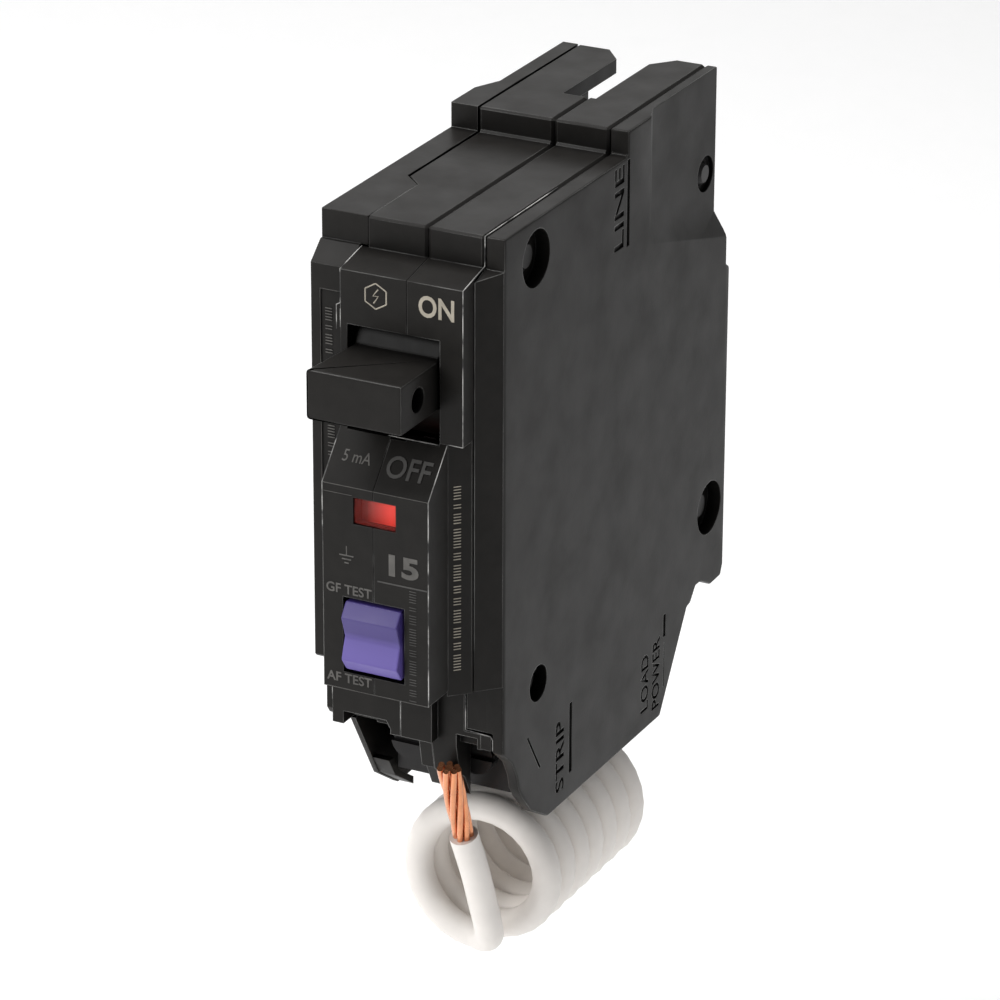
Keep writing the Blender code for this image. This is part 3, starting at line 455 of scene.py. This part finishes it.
def refined(node, name, body, material):
    """A moving CAD piece with its vertices joined and its shading smoothed."""
    mesh = frame["nodes"][node].data.copy()
    welded(mesh)
    mesh.materials.clear()
    mesh.materials.append(material)
    made = link(name, mesh)
    smoothed(made)
    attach(made, body)
    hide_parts(node)


def window_edges():
    """A small round on the window's edges."""
    lens = frame["nodes"]["window_lens"]
    weld = lens.modifiers.new("weld", "WELD")
    weld.merge_threshold = WELD_GAP * MM
    rounding = lens.modifiers.new("rounding", "BEVEL")
    rounding.width = 0.18 * MM
    rounding.segments = 2


# Marks

LEVEL_A = -5.65
LEVEL_B = -10.8
SLOPE = ((LEVEL_A, -26.0), (LEVEL_B, -31.9))


def printed(name, pieces, ink):
    """Joins thin pieces into one mark on the case."""
    shape = bmesh.new()
    for piece in pieces:
        mesh = flattened(piece)
        shape.from_mesh(mesh)
        bpy.data.objects.remove(piece)
        bpy.data.meshes.remove(mesh)
    mesh = bpy.data.meshes.new(name)
    shape.to_mesh(mesh)
    shape.free()
    mesh.materials.append(ink)
    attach(link(name, mesh), "case")


def on_slope(x, share):
    """A point on the slope between the two levels, share of the way down."""
    (y0, z0), (y1, z1) = SLOPE
    return (x, y0 + (y1 - y0) * share, z0 + (z1 - z0) * share)


def slope_turn():
    """The turn that lays letters on that slope."""
    (y0, z0), (y1, z1) = SLOPE
    return Matrix.Rotation(math.pi / 2 - math.atan2(y0 - y1, z0 - z1), 4, "X")


FLASH_HALF = 0.07
TICK_HEIGHT = 0.75
SMALL_PRINT = "||||| || |||| ||||||| ||| |||||| ||| ||| ||||| |||| ||| |||||| || ||||"
DOWNWARD = Matrix.Rotation(-math.pi / 2, 4, "Z")
ON_SHOULDER = Matrix.Rotation(math.radians(47.4), 4, "Z") @ ON_FRONT


def small_print(middle, turn, count, wide):
    """A column of plain ticks, in place of small print."""
    return lettering(SMALL_PRINT[:count], TICK_HEIGHT, middle, turn @ DOWNWARD, TEXT_RAISE, 0.0, wide)


def marks():
    """What stands on the front: words, ratings, symbols, ticks, the lines of moulding flash with a painted
    highlight, and fainter painted highlight lines along edges.
    """
    pale = finish("ink_pale", (0.42, 0.38, 0.31), 0.6, varied=0.2).material
    grey = finish("ink_grey", (0.105, 0.1, 0.092), 0.6, varied=0.25).material
    faint = finish("ink_faint", (0.05, 0.048, 0.045), 0.5, varied=0.25).material
    on = lettering("ON", 2.7, (18.8, LEVEL_A, -8.35), ON_FRONT, TEXT_RAISE, 0.08, 0.84)
    off = lettering("OFF", 2.9, on_slope(16.3, 0.55), slope_turn(), 0.12, 0.05, 0.86)
    rating = lettering("15", 2.7, (16.45, LEVEL_B, -41.5), ON_FRONT, TEXT_RAISE, 0.14, 1.35)
    printed("mark_on", [on], pale)
    printed("mark_off", [off], faint)
    printed("mark_rating", [rating], grey)
    rule = block((13.1, 20.1), (LEVEL_B - 0.04, LEVEL_B + 0.02), (-44.0, -43.8))
    printed("mark_rating_rule", [rule], faint)
    trip = lettering("5 mA", 1.6, on_slope(8.9, 0.5), slope_turn(), TEXT_RAISE, 0.0, 0.8)
    printed("mark_trip", [trip], grey)
    tests = [
        lettering("GF TEST", 1.25, (9.0, LEVEL_B, -46.0), ON_FRONT, TEXT_RAISE, 0.03),
        lettering("AF TEST", 1.25, (9.0, LEVEL_B, -58.3), ON_FRONT, TEXT_RAISE, 0.03),
    ]
    printed("mark_test", tests, grey)
    columns = (
        ("print_shoulder", (21.15, -4.55, -44.4), ON_SHOULDER, 62, 1.46, pale),
        ("print_label", (2.2, -2.85, -15.0), ON_FRONT, 16, 1.4, grey),
        ("print_label_low", (2.4, -2.85, -29.8), ON_FRONT, 11, 1.4, grey),
        ("print_escutcheon", (18.15, LEVEL_B, -51.9), ON_FRONT, 42, 1.3, faint),
    )
    for name, middle, turn, count, wide, ink in columns:
        printed(name, [small_print(middle, turn, count, wide)], ink)
    # Raised lines of flash whose brightness is a painted highlight.
    flash = [stroke(line, FLASH_HALF, FLASH_HALF / 2) for line in flash_lines()]
    printed("flash_highlight", flash, flash_highlight_material())
    # Painted highlights: faint lighter lines along edges, in the grey ink.
    lines = [stroke(line, FLASH_HALF / 2, FLASH_HALF / 3) for line in faint_highlight_lines()]
    printed("edge_highlight_lines", lines, grey)
    printed("mark_emblem", emblem((10.3, LEVEL_A, -8.1), 1.7), pale)
    printed("mark_ground", ground_symbol((8.7, LEVEL_B, -41.3)), grey)


def emblem(middle, radius):
    """A plain hexagonal badge with a bolt."""
    x, y, z = middle
    rim = []
    for i in range(6):
        a, b = (math.tau * (i + k) / 6 for k in (0, 1))
        rim.append(stroke([(x + radius * math.sin(t), y, z + radius * math.cos(t)) for t in (a, b)], 0.16))
    bolt = [(x + 0.35, y, z + 0.95), (x - 0.4, y, z + 0.0), (x + 0.35, y, z + 0.05), (x - 0.3, y, z - 0.95)]
    return rim + [stroke(bolt, 0.17)]


def ground_symbol(middle):
    """A stem over three bars, each shorter than the one above."""
    x, y, z = middle
    lines = [[(x, y, z + 1.3), (x, y, z)]]
    lines += [[(x - w, y, z - d), (x + w, y, z - d)] for w, d in ((1.0, 0.0), (0.65, 0.5), (0.3, 1.0))]
    return [stroke(line, 0.1) for line in lines]


def flash_highlight_material():
    """Painted highlight on the flash lines: bright in places and as dark as the case in others."""
    made = finish("flash_highlight", (0.3, 0.3, 0.29), 0.5)
    bright = made.ranged(made.noise(330.0, 4.0), 0.42, 0.58, 0.0, 1.0)
    made.join(made.mixed(bright, (0.03, 0.03, 0.03), (0.62, 0.61, 0.59)), made.shader.inputs["Base Color"])
    return made.material


def flash_lines():
    """The thin lines of flash, which carry a painted highlight, along the moulded parts' joins and the
    stepped front's edges.
    """
    left, right, upper_right = ESCUTCHEON_LEFT, 20.25, 22.4
    shoulder_edge = [(22.5, 20.0, 0.0), (22.5, 0.05, 0.0), (22.5, 0.0, -3.9)]
    right_step = [(upper_right, LEVEL_A, -26.0), (right, LEVEL_A, -26.0), (right, LEVEL_B, -31.9)]
    left_step = [(left, LEVEL_A, -24.0), (left, LEVEL_A, -26.0), (left, LEVEL_B, -31.9)]
    corner_left = [(left, 0.0, -4.15), (left, LEVEL_A, -5.3), (left, LEVEL_A, -9.8)]
    hook = [(19.9, 0.0, -61.0), (19.9, 0.0, -67.6), (23.5, 0.0, -67.8)]
    return [
        shoulder_edge + [(upper_right, LEVEL_A, -5.3), (upper_right, LEVEL_A, -26.0)],
        right_step + [(right, LEVEL_B, -59.8)],
        corner_left + [(4.75, LEVEL_A, -10.1), (4.75, LEVEL_A, -13.4)],
        [(left, LEVEL_A, -10.6), (left, LEVEL_A, -13.0)],
        left_step + [(left, LEVEL_B, -40.0)],
        [(12.0, LEVEL_A, -26.3), (19.2, LEVEL_A, -26.3)],
        [(2.15, -1.7, -60.1), (2.15, -1.7, -64.2), (1.45, -1.7, -64.4), (1.45, -1.7, -66.5)],
        [(11.4, -1.7, -60.1), (11.4, -1.7, -69.6)],
        hook + [(23.8, 0.0, -68.3), (23.8, 0.0, -69.8)],
    ]


def faint_highlight_lines():
    """Fainter painted highlight lines, across the stepped front's lower edges."""
    left, right = ESCUTCHEON_LEFT, 20.25
    return [
        [(left, LEVEL_B, -31.9), (right, LEVEL_B, -31.9)],
        [(left, LEVEL_B, -33.0), (9.5, LEVEL_B, -33.0)],
        [(left, LEVEL_B, -59.8), (right, LEVEL_B, -59.8)],
        [(3.5, -3.0, -9.5), (1.0, -3.0, -9.5), (1.0, -3.0, -59.4)],
    ]


def stroke(points, half, raised=TEXT_RAISE):
    """A thin drawn line on a face that looks to the front."""
    data = bpy.data.curves.new("stroke", "CURVE")
    data.dimensions = "3D"
    data.bevel_depth = half * MM
    data.bevel_resolution = 1
    data.use_fill_caps = True
    line = data.splines.new("POLY")
    line.points.add(len(points) - 1)
    for corner, (x, y, z) in zip(line.points, points):
        corner.co = (*at(x, y + half - raised, z), 1.0)
    return link("stroke", data)


# Neutral lead

WIRE_RADIUS = 1.95
COIL_CENTRE = (13.7, -96.6)
COIL_RADIUS = 9.05
COIL_FRONT = 15.05
COIL_PITCH = 4.23
COIL_TURNS = 7.25
POINTS_PER_TURN = 28
LEAD_EXIT = (8.2, 51.6, -78.1)
LEAD_ROUTE = [
    (8.2, 46.5, -74.9),
    LEAD_EXIT,
    (8.1, 55.0, -80.6),
    (7.3, 57.2, -84.6),
    (6.1, 56.6, -89.6),
    (4.9, 53.4, -95.4),
]
TAIL_ROUTE = [
    (16.6, 13.2, -104.4),
    (17.3, 11.4, -101.2),
    (17.2, 10.0, -97.2),
    (17.0, 8.2, -92.0),
    (16.5, 6.1, -86.2),
]
STRAND_ENDS = ((16.5, 6.0, -86.0), (18.5, -1.9, -72.5))
STRAND_COUNT = 7
STRAND_RADIUS = 0.42
STRAND_TWISTS = 0.3
STRAND_STEPS = 32
STRAND_SPREAD = 0.16
TIP_SLANT = 0.07
CORE_WIDER = 1.35


def coil_points():
    """The helix, from its rear end at the left side to its front end at the bottom."""
    x, z = COIL_CENTRE
    count = round(COIL_TURNS * POINTS_PER_TURN)
    points = []
    for i in range(count, -1, -1):
        turn = i / POINTS_PER_TURN
        angle = -math.pi / 2 - math.tau * turn
        side = COIL_RADIUS * math.cos(angle)
        rise = COIL_RADIUS * math.sin(angle)
        points.append((x + side, COIL_FRONT + COIL_PITCH * turn, z + rise))
    return points


def smooth_route(points, steps):
    """Points on the smooth curve through the given ones, evenly along each stretch."""
    knots = [Vector(point) for point in points]
    knots = [2 * knots[0] - knots[1]] + knots + [2 * knots[-1] - knots[-2]]
    route = [knots[1]]
    for a, b, c, d in zip(knots, knots[1:], knots[2:], knots[3:]):
        for i in range(1, steps + 1):
            t = i / steps
            bend = (2 * a - 5 * b + 4 * c - d) * t * t + (3 * b - a - 3 * c + d) * t * t * t
            route.append(b + ((c - a) * t + bend) / 2)
    return route


def line_along(data, route):
    """Adds a line through the route's drawing points to a curve."""
    line = data.splines.new("POLY")
    line.points.add(len(route) - 1)
    for corner, point in zip(line.points, route):
        corner.co = (*at(*point), 1.0)
    line.use_smooth = True


def round_bar(name, routes, radius, resolution):
    """One or more round bars, as a single curve object."""
    data = bpy.data.curves.new(name, "CURVE")
    data.dimensions = "3D"
    data.bevel_depth = radius * MM
    data.bevel_resolution = resolution
    data.use_fill_caps = True
    for route in routes:
        line_along(data, route)
    return link(name, data)


def strand_routes():
    """The bared end's outer strands, twisted round a straight one, and cut slantwise at the tip."""
    start, end = (Vector(point) for point in STRAND_ENDS)
    turn = (end - start).to_track_quat("Z", "Y").to_matrix()
    ring = (STRAND_RADIUS + 0.02) / math.sin(math.pi / STRAND_COUNT)
    routes = [[start, (start + end) / 2, end]]
    for k in range(STRAND_COUNT):
        route = []
        tip = math.tau * (k / STRAND_COUNT + STRAND_TWISTS)
        outward = turn @ Vector((math.cos(tip), math.sin(tip), 0))
        reach = 1.0 - TIP_SLANT * outward.y
        for i in range(STRAND_STEPS + 1):
            share = i / STRAND_STEPS * reach
            angle = math.tau * (k / STRAND_COUNT + STRAND_TWISTS * share)
            wide = ring * (1 + STRAND_SPREAD * share)
            side = Vector((wide * math.cos(angle), wide * math.sin(angle), 0))
            route.append(start + (end - start) * share + turn @ side)
        routes.append(route)
    return routes


def neutral_lead(white, copper):
    """The lead out of the case, round the coil and up to its stripped end."""
    coil = [Vector(p) for p in coil_points()]
    route = smooth_route(LEAD_ROUTE + [tuple(coil[0]), tuple(coil[3])], 5)[:-5] + coil[1:-1]
    route += smooth_route([tuple(coil[-4]), tuple(coil[-1])] + TAIL_ROUTE, 6)[6:]
    wire = round_bar("neutral_wire", [route], WIRE_RADIUS, 6)
    wire.data.materials.append(white)
    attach(wire, "case")
    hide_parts("pigtail_lead", "pigtail_coil", "pigtail_tail")
    strands = round_bar("bare_strands", strand_routes(), STRAND_RADIUS, 3)
    for corner in strands.data.splines[0].points:
        corner.radius = CORE_WIDER
    strands.data.materials.append(copper)
    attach(strands, "case")
    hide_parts("pigtail_strands")


# Studio

AMBIENT = 0.2
FLOOR_LEVEL = -150


def floor():
    """A plain pale sheet well below the breaker."""
    mesh = bpy.data.meshes.new("floor")
    z = at(0, 0, FLOOR_LEVEL).z
    mesh.from_pydata([(-3, -2, z), (3, -2, z), (3, 4, z), (-3, 4, z)], [], [(0, 1, 2, 3)])
    made = link("floor", mesh)
    surface = finish("floor_paper", (0.93, 0.93, 0.93), 0.9, varied=0.01)
    surface.shader.inputs["Emission Color"].default_value = (1, 1, 1, 1)
    surface.shader.inputs["Emission Strength"].default_value = 0.15
    mesh.materials.append(surface.material)


def area_light(name, place, aim, size, power):
    """A soft rectangular light, aimed from one drawing point at another."""
    data = bpy.data.lights.new(name, "AREA")
    data.shape = "RECTANGLE"
    data.size, data.size_y = size
    data.energy = power
    made = link(name, data)
    start, end = at(*place), at(*aim)
    turn = (end - start).to_track_quat("-Z", "Y").to_matrix().to_4x4()
    made.matrix_world = Matrix.Translation(start) @ turn


def studio():
    """A white surround, the floor and four soft lights."""
    world = bpy.data.worlds.new("studio")
    bpy.context.scene.world = world
    world.use_nodes = True
    tree = world.node_tree
    back = tree.nodes["Background"]
    back.inputs[0].default_value = (1, 1, 1, 1)
    seen = tree.nodes.new("ShaderNodeLightPath")
    strength = tree.nodes.new("ShaderNodeMapRange")
    strength.inputs["To Min"].default_value = AMBIENT
    strength.inputs["To Max"].default_value = 1.0
    tree.links.new(seen.outputs["Is Camera Ray"], strength.inputs["Value"])
    tree.links.new(strength.outputs["Result"], back.inputs[1])
    floor()
    middle = (12, 20, -45)
    area_light("light_top", (-200, 0, 700), middle, (0.7, 0.7), 6.5)
    area_light("light_back", (-420, 700, 420), middle, (0.8, 0.4), 1.0)
    area_light("light_right", (800, -100, 300), middle, (0.6, 0.6), 0.2)
    area_light("light_front", (-500, -700, 350), middle, (0.5, 0.5), 3.8)
    bpy.context.scene.view_settings.view_transform = "Standard"


camera()
looks = cad_materials()
shells(looks["case_black"])
refined("handle", "toggle_lever", "handle", looks["case_black"])
refined("test_button", "rocker_button", "test_button", looks["button_purple"])
window_edges()
marks()
neutral_lead(looks["wire_white"], looks["copper"])
studio()
